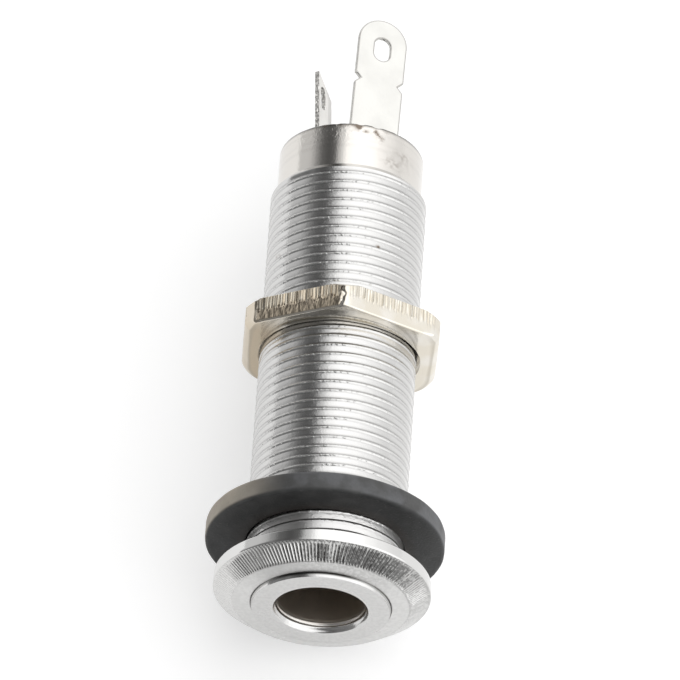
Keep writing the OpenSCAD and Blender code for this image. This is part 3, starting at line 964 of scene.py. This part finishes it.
def ring_nickel():
    """The dress ring's plate: a bright land, a satin face with painted shade on its top, and dark knurl
    valleys of painted shade and soil that are broken up where the knurling tool chattered."""
    material, tree, shader, place, colour, roughness, height = bright_nickel(
        "ring_nickel", base=(0.672, 0.669, 0.659), finish=0.08, satin_finish=0.3)
    broken = between(tree, noise(tree, place, size=0.0002), 0.45, 0.6)
    left_out = times(tree, mask(tree, "chatter"), calc(tree, "MULTIPLY_ADD", broken, 0.5, 0.25))
    dirt = times(tree, mask(tree, "groove"), calc(tree, "SUBTRACT", 1.0, left_out))
    # Painted shade and soil in the knurl, and painted shade on the top of the face
    colour = blend(tree, dirt, colour, KNURL_SHADE_AND_DIRT)
    dress(tree, shader, colour, raised(tree, roughness, dirt, gain=0.25), height, distance=0.000003)
    return material


def nut_plate():
    """Warm plate on stamped steel: streaked where the flats are torn, rough and dirty on the left flat's
    front, with painted shade on its left side, brown dirt in the pits."""
    material, tree, shader, place, grain = new_material(
        "nut_plate", NUT_PLATE, finish=0.11, metallic=1.0, size=0.0002, spread=0.05)
    torn = mask(tree, "torn")
    dirt = effect(tree, GRIME, place, cavity=mask(tree, "groove"), amount=1.25, size=0.0003)["Mask"]
    streak = noise(tree, stretched(tree, place, along=0.1), size=0.00017)
    scale = noise(tree, stretched(tree, place, along=0.45), size=0.00034)
    dulled = times(tree, torn, between(tree, streak, 0.4, 0.62))
    colour = blend(tree, between(tree, grain["Patches"], 0.4, 0.7), NUT_PLATE, NUT_WORN)
    # Painted shade on the nut's left side, with dirt on the left flat's rough front
    colour = blend(tree, mask(tree, "shade_and_dirt"), colour, NUT_SHADE_AND_DIRT)
    colour = blend(tree, dulled, colour, NUT_DULLED)
    colour = blend(tree, times(tree, mask(tree, "border"), 0.5), colour, NUT_BORDER)
    colour = blend(tree, dirt, colour, NUT_DIRT)
    coarse = calc(tree, "MAXIMUM", times(tree, torn, 0.6), dirt)
    roughness = raised(tree, grain["Roughness"], coarse, gain=0.2)
    height = raised(tree, grain["Height"], times(tree, torn, streak), gain=1.6)
    height = raised(tree, height, times(tree, mask(tree, "rough"), scale), gain=20.0)
    tree.links.new(raised(tree, 1.0, dirt, gain=-0.5), shader.inputs["Metallic"])
    dress(tree, shader, colour, roughness, height, distance=0.000004)
    return material


def tinned_sheet(name, base):
    """Pale dipped tin: nearly white on the faces, grey along their borders, speckled where it was cut."""
    material, tree, shader, place, grain = new_material(
        name, base, finish=0.32, metallic=1.0, size=0.00025, spread=0.1)
    cut = mask(tree, "cut")
    edge = between(tree, cut, 0.7, 0.95)
    border = calc(tree, "SUBTRACT", between(tree, cut, 0.2, 0.45), edge)
    dirt = effect(tree, GRIME, place, cavity=edge, amount=0.2, size=0.0005)["Mask"]
    colour = blend(tree, between(tree, grain["Patches"], 0.35, 0.7), base, [0.93 * part for part in base])
    colour = blend(tree, border, colour, TIN_BORDER)
    colour = blend(tree, dirt, colour, TIN_DIRT)
    torn = noise(tree, place, size=0.00032, detail=1.0)
    height = raised(tree, grain["Height"], edge, gain=times(tree, torn, 24.0))
    dress(tree, shader, colour, grain["Roughness"], height, distance=0.00001)
    return material


def black_rubber():
    """Matte rubber with a fine tooth and smears of dust, paler on its rim, with a painted sheen on the rim's
    left; brown where it rubs on the barrel."""
    material, tree, shader, place, grain = new_material(
        "black_rubber", RUBBER, finish=0.5, metallic=0.0, size=0.0002, spread=0.12)
    shader.inputs["Specular IOR Level"].default_value = 0.3
    dust = effect(tree, DUST, place, amount=0.5, size=0.00016)["Mask"]
    rubbed = between(tree, from_axis(tree, place)[0], 0.0072, 0.0061, 0.0, 0.6)
    colour = blend(tree, rubbed, RUBBER, RUBBER_RUBBED)
    pale = blend(tree, between(tree, grain["Patches"], 0.38, 0.66), RUBBER_RIM, RUBBER_DARK)
    colour = blend(tree, mask(tree, "rim"), colour, pale)
    # Painted sheen on the left of the rim
    colour = blend(tree, mask(tree, "painted_sheen"), colour, RUBBER_SHEEN)
    colour = blend(tree, dust, colour, RUBBER_DUST)
    dress(tree, shader, colour, grain["Roughness"], grain["Height"], distance=0.00002)
    return material


def insulator(name, base, finish):
    """Plain dark insulating piece with a little dust."""
    material, tree, shader, place, grain = new_material(
        name, base, finish, metallic=0.0, size=0.0003, spread=0.1)
    dust = effect(tree, DUST, place, amount=0.25, size=0.0003)["Mask"]
    colour = blend(tree, dust, base, GREY_DUST)
    dress(tree, shader, colour, grain["Roughness"], grain["Height"], distance=0.00001)
    return material


def finish_node(node, material):
    """Gives a frame node that stays in the scene its material."""
    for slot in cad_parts[node].material_slots:
        slot.material = material


# Stage

def camera():
    """Camera at the photograph's angle, placed so that the frame's origin falls on its pixel."""
    azimuth = radians(CAMERA_AZIMUTH)
    elevation = radians(CAMERA_ELEVATION)
    level = cos(elevation)
    back = np.array([sin(azimuth) * level, -cos(azimuth) * level, sin(elevation)])
    right = np.array([cos(azimuth), sin(azimuth), 0.0])
    up = np.cross(back, right)
    across = (ORIGIN_PIXEL[0] - IMAGE_SIZE / 2) / PIXELS_PER_MM
    down = (ORIGIN_PIXEL[1] - IMAGE_SIZE / 2) / PIXELS_PER_MM
    position = CAMERA_DISTANCE * back - across * right + down * up
    data = bpy.data.cameras.new("camera")
    data.sensor_width = SENSOR_WIDTH
    data.lens = SENSOR_WIDTH * PIXELS_PER_MM * CAMERA_DISTANCE / IMAGE_SIZE
    data.clip_start = 0.01
    data.clip_end = 20
    eye = linked("camera", data)
    matrix = np.eye(4)
    matrix[:3] = np.stack([right, up, back, position * MM], 1)
    eye.matrix_world = Matrix(matrix.tolist())
    bpy.context.scene.camera = eye


def light_tent():
    """The tent is the world: its brightness follows the angle round the jack's axis, as white cards beside
    the jack would, with a narrow dark gap up on the left and a dim front."""
    world = bpy.data.worlds.new("light_tent")
    bpy.context.scene.world = world
    world.use_nodes = True
    tree = world.node_tree
    direction = add(tree, "TexCoord").outputs["Generated"]
    axes = add(tree, "SeparateXYZ", {0: direction}).outputs
    along = axes["Y"]
    lean = between(tree, along, *CARD_LEAN_Y, 0.0, -radians(CARD_LEAN))
    angle = calc(tree, "ADD", calc(tree, "ARCTAN2", axes["X"], axes["Z"]), lean)
    share = calc(tree, "MULTIPLY_ADD", angle, 1 / TAU, 0.5)
    cards = grey_ramp(tree, share, [(degrees / 360 + 0.5, light) for degrees, light in TENT_CARDS])
    tent = blend(tree, between(tree, along, *TENT_FRONT_Y), cards, (TENT_FRONT,) * 3)

    def past(degrees):
        """Rise over a pair of angles."""
        return between(tree, angle, *map(radians, degrees))

    window = times(tree, between(tree, along, *LEFT_CARD_FRONT_Y), between(tree, along, *LEFT_CARD_REAR_Y))
    dimmed = times(tree, past(LEFT_CARD_ANGLES), calc(tree, "SUBTRACT", 1.0, window))
    strength = raised(tree, 1.0, dimmed, gain=LEFT_CARD_DIM - 1.0)
    on_right = times(tree, past(RIGHT_CARD_TOP), past(RIGHT_CARD_FOOT))
    on_right = times(tree, on_right, between(tree, along, *RIGHT_CARD_Y))
    strength = raised(tree, strength, on_right, gain=RIGHT_CARD_GAIN)
    tree.links.new(tent, tree.nodes["Background"].inputs["Color"])
    tree.links.new(strength, tree.nodes["Background"].inputs["Strength"])


def pale_floor():
    """Floor at the jack's lowest point, which glows a little where it is seen or mirrored."""
    half = FLOOR_SIZE / 2
    level = cad_box[0][2]
    corners = [(x * half, y * half, level) for x, y in ((-1, -1), (1, -1), (1, 1), (-1, 1))]
    mesh = bpy.data.meshes.new("floor")
    mesh.from_pydata(corners, [], [(0, 1, 2, 3)])
    floor = linked("floor", mesh)
    material = bpy.data.materials.new("pale_floor")
    material.use_nodes = True
    tree = material.node_tree
    tree.nodes.clear()
    path = add(tree, "LightPath").outputs
    mirrored = calc(tree, "MAXIMUM", path["Is Camera Ray"], path["Is Glossy Ray"])
    seen = calc(tree, "MINIMUM", calc(tree, "ADD", mirrored, path["Is Transmission Ray"]), 1.0)
    glow = times(tree, seen, FLOOR_GLOW)
    lit = add(tree, "BsdfDiffuse", {"Color": (FLOOR_COLOUR,) * 3})
    white = add(tree, "Emission", {"Color": (1, 1, 1), "Strength": glow})
    both = add(tree, "AddShader", {0: lit.outputs[0], 1: white.outputs[0]})
    add(tree, "OutputMaterial", {"Surface": both.outputs[0]})
    mesh.materials.append(material)


sleeve_tin = tinned_sheet("sleeve_tin", base=(0.685, 0.678, 0.651))
tip_tin = tinned_sheet("tip_tin", base=(0.765, 0.752, 0.722))
stand_in(barrel_shape(), "barrel", "jack", barrel_nickel())
stand_in(dress_ring_shape(), "dress_ring", "jack", ring_nickel())
stand_in(washer_shape(), "rubber_washer", "jack", black_rubber())
stand_in(nut_shape(), "hex_nut", "nut", nut_plate())
sleeve_lug = softened_copy("sleeve_lug", "sleeve_lug_sheet", facing=22, border=0.11)
stand_in(sleeve_lug, "sleeve_lug", "jack", sleeve_tin)
tip_contact = softened_copy("tip_contact", "tip_contact_sheet", facing=-114)
stand_in(tip_contact, "tip_contact", "jack", tip_tin)
finish_node("liner", insulator("brown_liner", base=(0.13, 0.09, 0.062), finish=0.45))
moulding = insulator("black_moulding", base=(0.025, 0.024, 0.023), finish=0.4)
finish_node("contact_carrier", moulding)
bpy.context.scene.view_settings.view_transform = "Standard"
camera()
light_tent()
pale_floor()
